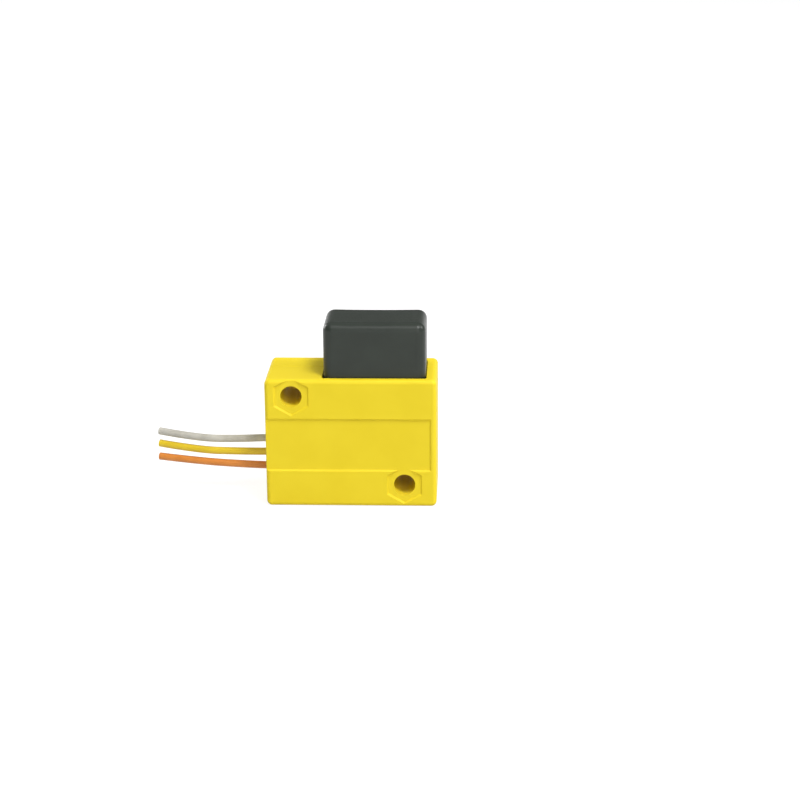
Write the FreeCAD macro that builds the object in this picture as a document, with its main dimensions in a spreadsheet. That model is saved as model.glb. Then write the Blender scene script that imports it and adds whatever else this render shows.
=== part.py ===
import FreeCAD, Part
import Sketcher
import math
import operator
import os
from types import SimpleNamespace

# Three-position enabling switch with a moulded two-part housing, a push button and flying leads.
# Millimetres. X to the right, Y to the back, Z up; the origin is under the middle of the housing.
Vector = FreeCAD.Vector
doc = FreeCAD.newDocument("enabling_switch")
sheet = doc.addObject("Spreadsheet::Sheet", "Sizes")

driving_sizes = {
    # housing
    "body_width": 36.0,
    "body_depth": 18.0,
    "body_height": 27.85,
    "wall": 1.4,
    "corner_radius": 1.1,
    "edge_radius": 0.9,
    "seam_chamfer": 0.12,
    "split_offset": 1.5,
    "label_low": 7.8,
    "label_high": 19.45,
    "label_margin": 1.1,
    "label_depth": 0.35,
    "recess_slope": 45.0,
    # mounting holes and their shallow hexagonal seats
    "hole_radius": 2.25,
    "hole_land": 1.43,
    "hole_wall": 1.2,
    "upper_hole_inset": 5.58,
    "lower_hole_inset": 6.75,
    "lower_hole_rise": 4.83,
    "seat_across": 7.4,
    "seat_depth": 0.35,
    # screws that close the housing
    "screw_radius": 0.78,
    "screw_grip": 0.02,
    "screw_passage": 0.3,
    "screw_head_radius": 1.7,
    "screw_head_height": 1.0,
    "screw_head_sink": 1.1,
    "screw_bite": 5.0,
    "screw_boss_wall": 0.8,
    "screw_boss_gap": 0.2,
    "right_screw_height": 13.0,
    # button
    "button_side": 0.875,
    "button_set_back": 0.3,
    "button_width": 21.45,
    "button_depth": 13.8,
    "button_rise": 11.67,
    "button_wall": 1.5,
    "button_roof": 2.0,
    "button_corner": 1.9,
    "button_edge": 1.8,
    "button_dish": 0.12,
    "slot_clearance": 0.1,
    "slot_play": 0.3,
    "slot_corner": 0.5,
    "slot_chamfer": 0.08,
    "lip_reach": 0.65,
    "lip_length": 7.0,
    "lip_height": 1.6,
    "lip_gap": 0.1,
    # plunger and its travel
    "stroke": 4.5,
    "first_stage": 2.0,
    "plate_thickness": 1.6,
    "plate_inset": 0.3,
    "plug_height": 1.5,
    "fit_clearance": 0.1,
    "stem_size": 4.0,
    "stem_clearance": 0.15,
    "peg_radius": 0.9,
    "boss_radius": 1.5,
    "boss_inset": 1.35,
    "boss_bite": 5.0,
    # springs, their shelf and the stop under the stem
    "shelf_low": 8.5,
    "shelf_thickness": 1.2,
    "shelf_set_back": 0.5,
    "shelf_overhang": 2.2,
    "shelf_gap": 0.2,
    "rib_width": 1.2,
    "ledge_width": 1.2,
    "ledge_height": 1.8,
    "stop_thickness": 1.2,
    "stop_overlap": 0.4,
    "spring_offset": 6.0,
    "spring_coil_radius": 1.85,
    "spring_wire": 0.5,
    "spring_turns": 3.5,
    "spigot_radius": 1.4,
    "spigot_height": 1.0,
    "stage_coil_radius": 1.4,
    "stage_wire": 0.6,
    "stage_turns": 2.5,
    "stage_setback": 2.3,
    "stage_post_radius": 0.9,
    # contact block and terminals
    "block_thickness": 1.7,
    "block_rise": 4.6,
    "block_margin": 0.4,
    "locator_rise": 6.0,
    "locator_radius": 0.8,
    "locator_gap": 0.05,
    "strip_thickness": 0.5,
    "strip_width": 0.9,
    "strip_edge": 0.3,
    "segment_width": 0.8,
    "segment_reach": 2.7,
    "enable_half": 0.55,
    "monitor_start": 1.25,
    "monitor_bridge": 3.3,
    "tail_inset": 7.4,
    "tail_width": 1.6,
    "tail_reach": 0.8,
    # rocking contact lever
    "lever_thickness": 1.8,
    "lever_end": 1.6,
    "hub_radius": 2.4,
    "arm_half_width": 1.5,
    "fork_half_width": 2.1,
    "fork_gap": 0.1,
    "contact_end": 0.9,
    "inner_contact": 7.3,
    "outer_contact": 8.7,
    "pin_radius": 1.0,
    "pin_grip": 0.02,
    "pin_clearance": 0.05,
    "pivot_boss_radius": 1.45,
    "clip_radius": 1.8,
    "clip_thickness": 0.4,
    "bridge_thickness": 0.25,
    "bridge_half_width": 1.2,
    "bridge_margin": 0.35,
    "dimple_radius": 0.45,
    "dimple_height": 0.3,
    "contact_gap": 0.05,
    "rivet_radius": 0.5,
    "rivet_head": 0.7,
    "rivet_set_back": 2.35,
    "rivet_pitch": 1.5,
    # leads
    "lead_radius": 0.8,
    "lead_gap": 0.1,
    "lead_top": 11.88,
    "lead_pitch": 3.18,
    "lead_level": 0.8,
    "conductor_radius": 0.35,
    "strip_length": 1.7,
    "solder_radius": 0.65,
    "solder_length": 1.1,
    "comb_length": 1.6,
    "comb_depth": 3.0,
    "comb_margin": 1.3,
    "comb_gap": 0.05,
}


class Size:
    # A length that keeps its number together with the sheet expression that it comes from.
    def __init__(self, number, text):
        self.number = number
        self.text = text

    def __add__(self, other):
        return combine(self, "+", other)

    def __radd__(self, other):
        return combine(other, "+", self)

    def __sub__(self, other):
        return combine(self, "-", other)

    def __rsub__(self, other):
        return combine(other, "-", self)

    def __mul__(self, other):
        return combine(self, "*", other)

    def __rmul__(self, other):
        return combine(other, "*", self)

    def __truediv__(self, other):
        return combine(self, "/", other)

    def __neg__(self):
        return combine(0, "-", self)


signs = {"+": operator.add, "-": operator.sub, "*": operator.mul, "/": operator.truediv}


def as_size(value):
    if isinstance(value, Size):
        return value
    return Size(value, "(%.9g)" % value)


def combine(first, sign, second):
    first = as_size(first)
    second = as_size(second)
    number = signs[sign](first.number, second.number)
    return Size(number, "(%s %s %s)" % (first.text, sign, second.text))


for row, (name, value) in enumerate(driving_sizes.items(), start=1):
    sheet.set("A%d" % row, "%g" % value)
    sheet.setAlias("A%d" % row, name)
doc.recompute()
at = SimpleNamespace(**{name: Size(value, "Sizes." + name) for name, value in driving_sizes.items()})

plane_normals = {"XY_Plane": 1, "XZ_Plane": -1, "YZ_Plane": 1}
sketch_planes = {}
nodes = {}


def new_body(label):
    body = doc.addObject("PartDesign::Body", label)
    body.Label = label
    return body


def new_sketch(body, role, place):
    # A sketch on one of the body's own origin planes, moved along that plane's world axis.
    plane = [feature for feature in body.Origin.OriginFeatures if feature.Role == role][0]
    sketch = body.newObject("Sketcher::SketchObject", body.Name + "_sketch")
    sketch.AttachmentSupport = (plane, "")
    sketch.MapMode = "FlatFace"
    sketch.setExpression("AttachmentOffset.Base.z", (place * plane_normals[role]).text)
    sketch_planes[sketch.Name] = role
    return sketch


def bind(sketch, kind, places, value):
    value = as_size(value)
    index = sketch.addConstraint(Sketcher.Constraint(kind, *places, value.number))
    sketch.setExpression("Constraints[%d]" % index, value.text)


def outline(sketch, corners):
    # A closed run of straight lines whose corners are bound one by one.
    corners = [(as_size(x), as_size(y)) for x, y in corners]
    points = [Vector(x.number, y.number, 0) for x, y in corners]
    lines = []
    for start, end in zip(points, points[1:] + points[:1]):
        lines.append(sketch.addGeometry(Part.LineSegment(start, end), False))
    for line, following in zip(lines, lines[1:] + lines[:1]):
        sketch.addConstraint(Sketcher.Constraint("Coincident", line, 2, following, 1))
    for line, (x, y) in zip(lines, corners):
        bind(sketch, "DistanceX", (-1, 1, line, 1), x)
        bind(sketch, "DistanceY", (-1, 1, line, 1), y)
    return lines


def rectangle(sketch, left, right, low, high):
    outline(sketch, [(left, low), (right, low), (right, high), (left, high)])


def circle(sketch, x, y, radius):
    x, y, radius = as_size(x), as_size(y), as_size(radius)
    ring = Part.Circle(Vector(x.number, y.number, 0), Vector(0, 0, 1), radius.number)
    index = sketch.addGeometry(ring, False)
    bind(sketch, "DistanceX", (-1, 1, index, 3), x)
    bind(sketch, "DistanceY", (-1, 1, index, 3), y)
    bind(sketch, "Radius", (index,), radius)


def extrude(body, kind, sketch, length, sign):
    # Adds or removes material from the sketch towards the positive or negative world axis.
    before = body.Shape.Volume if body.Shape and not body.Shape.isNull() else 0.0
    feature = body.newObject("PartDesign::" + kind, body.Name + "_" + kind.lower())
    feature.Profile = sketch
    along = plane_normals[sketch_planes[sketch.Name]] * sign > 0
    feature.Reversed = along if kind == "Pocket" else not along
    feature.setExpression("Length", as_size(length).text)
    doc.recompute()
    change = body.Shape.Volume - before
    if (change >= 0) == (kind == "Pocket"):
        raise ValueError("%s changes nothing in %s" % (feature.Name, body.Label))
    return feature


def pad(body, sketch, length, sign):
    return extrude(body, "Pad", sketch, length, sign)


def pocket(body, sketch, length, sign):
    return extrude(body, "Pocket", sketch, length, sign)


def slope_in(feature):
    # The pocket narrows towards its floor.
    feature.setExpression("TaperAngle", "-Sizes.recess_slope")
    doc.recompute()


def dress(body, kind, name, size, wanted):
    # Dresses the wanted edges of the body so far with a fillet or a chamfer.
    base = body.Tip
    names = ["Edge%d" % (index + 1) for index, edge in enumerate(base.Shape.Edges) if wanted(edge)]
    feature = body.newObject("PartDesign::" + kind, body.Name + "_" + kind.lower())
    feature.Base = (base, names)
    feature.setExpression(name, as_size(size).text)
    doc.recompute()


def fillet(body, radius, wanted):
    dress(body, "Fillet", "Radius", radius, wanted)


def lies_at(edge, axis, place):
    low = getattr(edge.BoundBox, axis + "Min")
    high = getattr(edge.BoundBox, axis + "Max")
    return abs(low - place) < 1e-4 and abs(high - place) < 1e-4


def runs_along(edge, axis):
    return max(getattr(edge.BoundBox, other + "Length") for other in "XYZ" if other != axis) < 1e-4


def place_at(item, x, y, z, rotation=FreeCAD.Rotation()):
    item.Placement = FreeCAD.Placement(Vector(0, 0, 0), rotation)
    for axis, value in zip("xyz", (x, y, z)):
        item.setExpression("Placement.Base." + axis, as_size(value).text)


along_x = FreeCAD.Rotation(Vector(0, 1, 0), 90)
along_y = FreeCAD.Rotation(Vector(1, 0, 0), -90)
along_z = FreeCAD.Rotation()


def rod(name, radius, length, x, y, z, rotation):
    item = doc.addObject("Part::Cylinder", name)
    item.setExpression("Radius", as_size(radius).text)
    item.setExpression("Height", as_size(length).text)
    place_at(item, x, y, z, rotation)
    return item


def joined(kind, name, items):
    item = doc.addObject(kind, name)
    if kind == "Part::Compound":
        item.Links = items
    else:
        item.Shapes = items
    return item


def cut(name, base, tool):
    item = doc.addObject("Part::Cut", name)
    item.Base = base
    item.Tool = tool
    return item


# Places that several pieces share
half_width = at.body_width / 2
half_depth = at.body_depth / 2
split = at.split_offset
front_inner = at.wall - half_depth
upper_hole = (at.upper_hole_inset - half_width, at.body_height - at.hole_radius - at.hole_land)
lower_hole = (half_width - at.lower_hole_inset, at.lower_hole_rise)
screw_hole_radius = at.screw_radius + at.screw_grip
screw_boss_radius = screw_hole_radius + at.screw_boss_wall
screw_edge = at.wall + screw_boss_radius - at.screw_boss_gap
left_screw = (screw_edge + at.wall - half_width, screw_edge)
right_screw = (half_width - screw_edge, at.right_screw_height)
screw_places = [left_screw, right_screw]

button_right = half_width - at.wall - at.button_side
button_left = button_right - at.button_width
button_x = button_right - at.button_width / 2
slot_left = button_left - at.slot_play
slot_right = button_right + at.slot_clearance
button_front = front_inner + at.button_set_back
button_back = button_front + at.button_depth
button_y = button_front + at.button_depth / 2
button_low = at.body_height - at.wall - at.lip_gap - at.lip_height
button_top = at.body_height + at.button_rise
cavity_left = button_left + at.button_wall
cavity_right = button_right - at.button_wall
cavity_front = button_front + at.button_wall
cavity_back = button_back - at.button_wall
boss_places = [(cavity_left + at.boss_inset, cavity_back - at.boss_inset),
               (cavity_right - at.boss_inset, cavity_front + at.boss_inset)]

plate_low = button_low - at.plate_thickness
shelf_top = at.shelf_low + at.shelf_thickness
stop_top = at.wall + at.stop_thickness
stem_low = stop_top + at.lip_gap + at.stroke
stem_half = at.stem_size / 2
stem_front = button_y - stem_half
spring_places = [button_x - at.spring_offset, button_x + at.spring_offset]
stage_y = button_y + stem_half + at.stage_setback
stage_height = plate_low - shelf_top - at.first_stage
lowest_plate = plate_low - at.stroke - at.block_margin
pivot_height = lowest_plate - at.hub_radius

block_left = at.wall + at.block_margin - half_width
block_back = front_inner + at.block_thickness
block_low = left_screw[1] + screw_boss_radius + at.screw_boss_gap
block_high = pivot_height + at.block_rise
pivot_strips = at.strip_edge + at.strip_width * 2 + at.segment_width / 2
pivot_x = block_left + pivot_strips + at.outer_contact
lever_arm = button_x - pivot_x
contact_arm = at.outer_contact + at.contact_end
block_right = pivot_x + at.hub_radius
rib_left = block_right + at.block_margin
peg_height = pivot_height + at.stroke / 2
strip_back = block_back + at.strip_thickness
bridge_front = strip_back + at.contact_gap + at.dimple_height
lever_front = bridge_front + at.bridge_thickness
lever_back = lever_front + at.lever_thickness
rest_angle = math.atan(at.stroke.number / 2 / lever_arm.number)
rest_angle_text = "atan(%s)" % (at.stroke / 2 / lever_arm).text

lead_heights = [at.lead_top - at.lead_pitch * index for index in range(3)]
tail_x = block_left + at.tail_inset
tail_left = tail_x - at.tail_width / 2
tail_right = tail_x + at.tail_width / 2
lead_start = tail_left - at.fit_clearance


# Housing: two half shells that meet on the parting plane
def half_shell(label, sign):
    body = new_body(label)
    depth = half_depth - split * sign
    face = sign * half_depth.number

    block = new_sketch(body, "XZ_Plane", split)
    rectangle(block, -half_width, half_width, 0, at.body_height)
    pad(body, block, depth, sign)
    fillet(body, at.corner_radius, lambda edge: runs_along(edge, "Y"))
    fillet(body, at.edge_radius, lambda edge: lies_at(edge, "Y", face))

    hollow = new_sketch(body, "XZ_Plane", split)
    rectangle(hollow, at.wall - half_width, half_width - at.wall, at.wall, at.body_height - at.wall)
    pocket(body, hollow, depth - at.wall, sign)

    for x, z in (upper_hole, lower_hole):
        tube = new_sketch(body, "XZ_Plane", split)
        circle(tube, x, z, at.hole_radius + at.hole_wall)
        pad(body, tube, depth - at.wall / 2, sign)
    for x, z in screw_places:
        tube = new_sketch(body, "XZ_Plane", split)
        circle(tube, x, z, screw_boss_radius)
        pad(body, tube, depth - at.wall / 2, sign)

    rib = new_sketch(body, "XZ_Plane", split)
    rectangle(rib, rib_left, rib_left + at.rib_width, at.wall / 2, at.shelf_low)
    pad(body, rib, depth - at.wall / 2, sign)
    ledge = new_sketch(body, "XZ_Plane", split)
    ledge_left = half_width - at.wall - at.ledge_width
    rectangle(ledge, ledge_left, half_width - at.wall / 2, at.shelf_low - at.ledge_height, at.shelf_low)
    pad(body, ledge, depth - at.wall / 2, sign)

    slot = new_sketch(body, "XY_Plane", at.body_height)
    rectangle(slot, slot_left, slot_right, button_front - at.slot_clearance, button_back + at.slot_clearance)
    pocket(body, slot, at.wall + at.lip_gap, -1)
    top = at.body_height.number
    sides = [slot_left.number, slot_right.number]
    ends = [(button_front - at.slot_clearance).number, (button_back + at.slot_clearance).number]

    def is_corner(edge):
        near = any(lies_at(edge, "X", x) for x in sides) and any(lies_at(edge, "Y", y) for y in ends)
        return near and edge.BoundBox.ZMax > top - 1e-3

    def is_rim(edge):
        box = edge.BoundBox
        inside = box.XMin > sides[0] - 1e-3 and box.XMax < sides[1] + 1e-3
        return inside and lies_at(edge, "Z", top) and (sign < 0 or box.YMax < ends[1] + 1e-3)

    fillet(body, at.slot_corner, is_corner)
    dress(body, "Chamfer", "Size", at.slot_chamfer, is_rim)

    def is_seam(edge):
        # the outer outline at the parting plane
        box = edge.BoundBox
        middle = box.Center
        outer = abs(middle.x) > half_width.number - at.wall.number / 2 or middle.z < at.wall.number / 2
        return lies_at(edge, "Y", split.number) and (outer or lies_at(edge, "Z", top))

    dress(body, "Chamfer", "Size", at.seam_chamfer, is_seam)

    bores = new_sketch(body, "XZ_Plane", split)
    for x, z in (upper_hole, lower_hole):
        circle(bores, x, z, at.hole_radius)
    pocket(body, bores, depth + at.wall, sign)

    exits = new_sketch(body, "YZ_Plane", -half_width)
    for height in lead_heights:
        circle(exits, split, height, at.lead_radius + at.lead_gap)
    pocket(body, exits, at.wall + at.lead_gap, 1)
    return body


def front_shell():
    body = half_shell("front_shell", -1)

    pilots = new_sketch(body, "XZ_Plane", split)
    for x, z in screw_places:
        circle(pilots, x, z, screw_hole_radius)
    pocket(body, pilots, at.screw_bite + at.screw_head_height, -1)

    locators = new_sketch(body, "XZ_Plane", front_inner)
    for x, z in locator_places:
        circle(locators, x, z, at.locator_radius)
    pad(body, locators, at.block_thickness, 1)

    # Label panel with sloping sides; it runs out over the left edge and stops short of the right one
    label = new_sketch(body, "XZ_Plane", -half_depth)
    rectangle(label, -half_width - at.label_margin, half_width - at.label_margin,
              at.label_low, at.label_high)
    slope_in(pocket(body, label, at.label_depth, 1))

    # Hexagonal seats with sloping sides, a corner pointing down; they run out over the nearest edge
    for x, z in (upper_hole, lower_hole):
        seat = new_sketch(body, "XZ_Plane", -half_depth)
        side = at.seat_across / 2
        point = at.seat_across / math.sqrt(3)
        outline(seat, [(x, z - point), (x + side, z - point / 2), (x + side, z + point / 2),
                       (x, z + point), (x - side, z + point / 2), (x - side, z - point / 2)])
        slope_in(pocket(body, seat, at.seat_depth, 1))
    nodes["front_shell"] = body


def rear_shell():
    body = half_shell("rear_shell", 1)
    passages = new_sketch(body, "XZ_Plane", split)
    for x, z in screw_places:
        circle(passages, x, z, at.screw_radius + at.screw_passage)
    pocket(body, passages, half_depth, 1)
    sinks = new_sketch(body, "XZ_Plane", half_depth)
    for x, z in screw_places:
        circle(sinks, x, z, at.screw_head_radius + at.fit_clearance)
    pocket(body, sinks, at.screw_head_sink, -1)
    nodes["rear_shell"] = body


def shell_screws():
    screws = []
    seat = half_depth - at.screw_head_sink
    for index, (x, z) in enumerate(screw_places):
        length = seat - split + at.screw_bite
        shank = rod("shell_shank_%d" % index, at.screw_radius, length, x, seat - length, z, along_y)
        head = rod("shell_head_%d" % index, at.screw_head_radius, at.screw_head_height, x, seat, z, along_y)
        screws.append(joined("Part::MultiFuse", "shell_screw_%d" % index, [shank, head]))
    nodes["shell_screws"] = joined("Part::Compound", "shell_screws", screws)


# Button: a dished cap with a hollow under it, held in by a lip at each end
def button():
    body = new_body("button")
    block = new_sketch(body, "XY_Plane", button_low)
    rectangle(block, button_left, button_right, button_front, button_back)
    pad(body, block, button_top - button_low, 1)

    dish = new_sketch(body, "XZ_Plane", button_front)
    sag = at.button_dish
    bend = (at.button_width * at.button_width / 4 + sag * sag) / (sag * 2)
    middle = Vector(button_x.number, button_top.number + bend.number - sag.number, 0)
    left = Vector(button_left.number, button_top.number, 0)
    right = Vector(button_right.number, button_top.number, 0)
    chord = dish.addGeometry(Part.LineSegment(right, left), False)
    start, end = [math.atan2(point.y - middle.y, point.x - middle.x) for point in (left, right)]
    bow = Part.Circle(middle, Vector(0, 0, 1), bend.number)
    arc = dish.addGeometry(Part.ArcOfCircle(bow, start, end), False)
    dish.addConstraint(Sketcher.Constraint("Coincident", chord, 2, arc, 1))
    dish.addConstraint(Sketcher.Constraint("Coincident", arc, 2, chord, 1))
    bind(dish, "DistanceX", (-1, 1, chord, 1), button_right)
    bind(dish, "DistanceY", (-1, 1, chord, 1), button_top)
    bind(dish, "DistanceX", (-1, 1, chord, 2), button_left)
    bind(dish, "DistanceY", (-1, 1, chord, 2), button_top)
    bind(dish, "Radius", (arc,), bend)
    pocket(body, dish, at.button_depth, 1)

    fillet(body, at.button_corner, lambda edge: runs_along(edge, "Z"))
    roof = button_top.number - sag.number - 1e-3
    fillet(body, at.button_edge, lambda edge: edge.BoundBox.ZMin > roof)

    hollow = new_sketch(body, "XY_Plane", button_low)
    rectangle(hollow, cavity_left, cavity_right, cavity_front, cavity_back)
    pocket(body, hollow, button_top - button_low - at.button_roof, 1)
    for x, y in boss_places:
        post = new_sketch(body, "XY_Plane", button_low + at.plug_height)
        circle(post, x, y, at.boss_radius)
        pad(body, post, button_top - at.button_roof / 2 - button_low - at.plug_height, 1)
    pilots = new_sketch(body, "XY_Plane", button_low + at.plug_height)
    for x, y in boss_places:
        circle(pilots, x, y, screw_hole_radius)
    pocket(body, pilots, at.boss_bite + at.screw_head_height, 1)

    lip_low = button_y - at.lip_length / 2
    lip_high = button_y + at.lip_length / 2
    for near, far in ((button_left + at.button_wall / 2, button_left - at.lip_reach),
                      (button_right - at.button_wall / 2, button_right + at.lip_reach)):
        lip = new_sketch(body, "XY_Plane", button_low)
        rectangle(lip, near, far, lip_low, lip_high)
        pad(body, lip, at.lip_height, 1)
    nodes["button"] = body


# Plunger: a plate that plugs the button's mouth, a guided stem and a peg that drives the lever
def plunger():
    body = new_body("plunger")
    plate = new_sketch(body, "XY_Plane", plate_low)
    rectangle(plate, button_left + at.plate_inset, button_right - at.plate_inset,
              button_front + at.plate_inset, button_back - at.plate_inset)
    pad(body, plate, at.plate_thickness, 1)
    plug = new_sketch(body, "XY_Plane", button_low)
    rectangle(plug, cavity_left + at.fit_clearance, cavity_right - at.fit_clearance,
              cavity_front + at.fit_clearance, cavity_back - at.fit_clearance)
    pad(body, plug, at.plug_height, 1)
    fillet(body, at.button_edge, lambda edge: runs_along(edge, "Z"))
    stem = new_sketch(body, "XY_Plane", plate_low)
    rectangle(stem, button_x - stem_half, button_x + stem_half, stem_front, stem_front + at.stem_size)
    pad(body, stem, plate_low - stem_low, -1)
    peg = new_sketch(body, "XZ_Plane", stem_front)
    circle(peg, button_x, peg_height, at.peg_radius)
    pad(body, peg, stem_front - lever_front + at.fork_gap, -1)
    for x in spring_places:
        spigot = new_sketch(body, "XY_Plane", plate_low)
        circle(spigot, x, button_y, at.spigot_radius)
        pad(body, spigot, at.spigot_height, -1)
    holes = new_sketch(body, "XY_Plane", plate_low)
    for x, y in boss_places:
        circle(holes, x, y, at.screw_radius + at.screw_passage)
    pocket(body, holes, at.plate_thickness + at.plug_height, 1)
    nodes["plunger"] = body


def plunger_screws():
    screws = []
    for index, (x, y) in enumerate(boss_places):
        length = at.plate_thickness + at.plug_height + at.boss_bite
        shank = rod("plunger_shank_%d" % index, at.screw_radius, length, x, y, plate_low, along_z)
        head = rod("plunger_head_%d" % index, at.screw_head_radius, at.screw_head_height,
                   x, y, plate_low - at.screw_head_height, along_z)
        screws.append(joined("Part::MultiFuse", "plunger_screw_%d" % index, [shank, head]))
    nodes["plunger_screws"] = joined("Part::Compound", "plunger_screws", screws)


# Spring shelf with the stem's guide hole, locating spigots and the post of the second-stage spring
def spring_shelf():
    body = new_body("spring_shelf")
    plate = new_sketch(body, "XY_Plane", at.shelf_low)
    rectangle(plate, rib_left - at.shelf_overhang, half_width - at.wall - at.shelf_gap,
              block_back + at.shelf_set_back, half_depth - at.wall - at.shelf_gap)
    pad(body, plate, at.shelf_thickness, 1)
    for x in spring_places:
        spigot = new_sketch(body, "XY_Plane", shelf_top)
        circle(spigot, x, button_y, at.spigot_radius)
        pad(body, spigot, at.spigot_height, 1)
    post = new_sketch(body, "XY_Plane", shelf_top)
    circle(post, button_x, stage_y, at.stage_post_radius)
    pad(body, post, stage_height - at.stroke, 1)
    guide = new_sketch(body, "XY_Plane", at.shelf_low)
    reach = stem_half + at.stem_clearance
    rectangle(guide, button_x - reach, button_x + reach, button_y - reach, button_y + reach)
    pocket(body, guide, at.shelf_thickness, 1)
    nodes["spring_shelf"] = body


def stop_pad():
    body = new_body("stop_pad")
    base = new_sketch(body, "XY_Plane", at.wall)
    reach = stem_half + at.stop_overlap
    rectangle(base, button_x - reach, button_x + reach, button_y - reach, button_y + reach)
    pad(body, base, at.stop_thickness, 1)
    top = stop_top.number
    fillet(body, at.stop_overlap, lambda edge: lies_at(edge, "Z", top))
    nodes["stop_pad"] = body


# Coil spring: half turns on planes tilted to and fro, which meet tangent, with a five-sided wire
def coil_spring(label, coil_radius, wire, turns, height, x, y, z):
    coil_radius, wire, height = coil_radius.number, wire.number, height.number
    count = round(2 * turns.number)
    rise = 2 * (height - wire) / count
    halves = []
    for half in range(count):
        side = 1 - 2 * (half % 2)
        low = wire / 2 + half * rise / 2
        swing = side * math.hypot(coil_radius, rise / 4)
        halves.append(Part.Arc(Vector(side * coil_radius, 0, low), Vector(0, swing, low + rise / 4),
                               Vector(-side * coil_radius, 0, low + rise / 2)).toShape())
    flats = 5
    corners = []
    for corner in range(flats + 1):
        turn = (corner + 0.5) * 2 * math.pi / flats
        corners.append(Vector(coil_radius + wire / 2 * math.cos(turn), 0, wire / 2 * (1 + math.sin(turn))))
    item = doc.addObject("Part::Feature", label)
    item.Shape = Part.Wire(halves).makePipe(Part.Face(Part.makePolygon(corners)))
    quarter = FreeCAD.Rotation(Vector(0, 0, 1), 90)
    item.Placement = FreeCAD.Placement(Vector(x.number, y.number, z.number), quarter)
    nodes[label] = item


def springs():
    for side, x in zip(("left", "right"), spring_places):
        coil_spring("return_spring_" + side, at.spring_coil_radius, at.spring_wire, at.spring_turns,
                    plate_low - shelf_top, x, button_y, shelf_top)
    coil_spring("stage_spring", at.stage_coil_radius, at.stage_wire, at.stage_turns,
                stage_height, button_x, stage_y, shelf_top)


# Contact block: an insulating plate on the front wall that carries the terminals and the pivot
locator_places = [(pivot_x - at.outer_contact, block_low + at.locator_radius + at.block_margin / 2),
                  (block_right - at.locator_radius - at.block_margin, block_low + at.locator_rise)]


def contact_block():
    body = new_body("contact_block")
    plate = new_sketch(body, "XZ_Plane", front_inner)
    step_x = slot_left - at.block_margin / 2
    outline(plate, [(block_left, block_low), (block_right, block_low), (block_right, lowest_plate),
                    (step_x, lowest_plate), (step_x, block_high), (block_left, block_high)])
    pad(body, plate, at.block_thickness, 1)
    boss = new_sketch(body, "XZ_Plane", block_back)
    circle(boss, pivot_x, pivot_height, at.pivot_boss_radius)
    pad(body, boss, lever_front - at.pin_clearance - block_back, 1)
    holes = new_sketch(body, "XZ_Plane", front_inner)
    circle(holes, pivot_x, pivot_height, at.pin_radius + at.pin_grip)
    for x, z in locator_places:
        circle(holes, x, z, at.locator_radius + at.locator_gap)
    pocket(body, holes, lever_front - front_inner, 1)
    nodes["contact_block"] = body


def terminal(label, corners, lead_height):
    # A stamped strip on the block with a tail bent back under its lead.
    body = new_body(label)
    strip = new_sketch(body, "XZ_Plane", block_back)
    outline(strip, corners)
    pad(body, strip, at.strip_thickness, 1)
    tail = new_sketch(body, "XZ_Plane", block_back)
    high = lead_height - at.conductor_radius
    rectangle(tail, tail_left, tail_right, high - at.strip_thickness, high)
    pad(body, tail, split + at.tail_reach - block_back, 1)
    nodes[label] = body


def terminals():
    lows = [height - at.conductor_radius - at.strip_thickness for height in lead_heights]
    highs = [low + at.strip_width for low in lows]
    half_segment = at.segment_width / 2
    inner_left = pivot_x - at.inner_contact - half_segment
    inner_right = pivot_x - at.inner_contact + half_segment
    outer_left = pivot_x - at.outer_contact - half_segment
    outer_right = pivot_x - at.outer_contact + half_segment
    middle = pivot_height

    top = middle + at.segment_reach
    terminal("common_terminal", [
        (inner_left, lows[0]), (tail_right, lows[0]), (tail_right, highs[0]),
        (inner_right, highs[0]), (inner_right, top), (inner_left, top)], lead_heights[0])

    down_right = outer_left - at.strip_width
    down_left = down_right - at.strip_width
    enable_low = middle - at.enable_half
    enable_high = middle + at.enable_half
    terminal("enable_terminal", [
        (down_left, lows[1]), (tail_right, lows[1]), (tail_right, highs[1]), (down_right, highs[1]),
        (down_right, enable_low), (outer_right, enable_low), (outer_right, enable_high),
        (down_left, enable_high)], lead_heights[1])

    drop_left = tail_right + at.strip_width / 2
    drop_right = drop_left + at.strip_width
    over_low = middle + at.monitor_bridge
    over_high = over_low + at.strip_width
    start = middle + at.monitor_start
    terminal("monitor_terminal", [
        (outer_left, start), (outer_right, start), (outer_right, over_low), (drop_left, over_low),
        (drop_left, highs[2]), (tail_left, highs[2]), (tail_left, lows[2]), (drop_right, lows[2]),
        (drop_right, over_high), (outer_left, over_high)], lead_heights[2])


# Rocking lever with the sprung bridge; drawn about its pivot and tilted to the rest position
def tilt_to_rest(item):
    place_at(item, pivot_x, 0, pivot_height, FreeCAD.Rotation(Vector(0, -1, 0), math.degrees(rest_angle)))
    item.setExpression("Placement.Rotation.Angle", rest_angle_text)


rivet_places = [at.rivet_set_back - at.inner_contact + at.rivet_pitch * step for step in (0, 1)]


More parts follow.
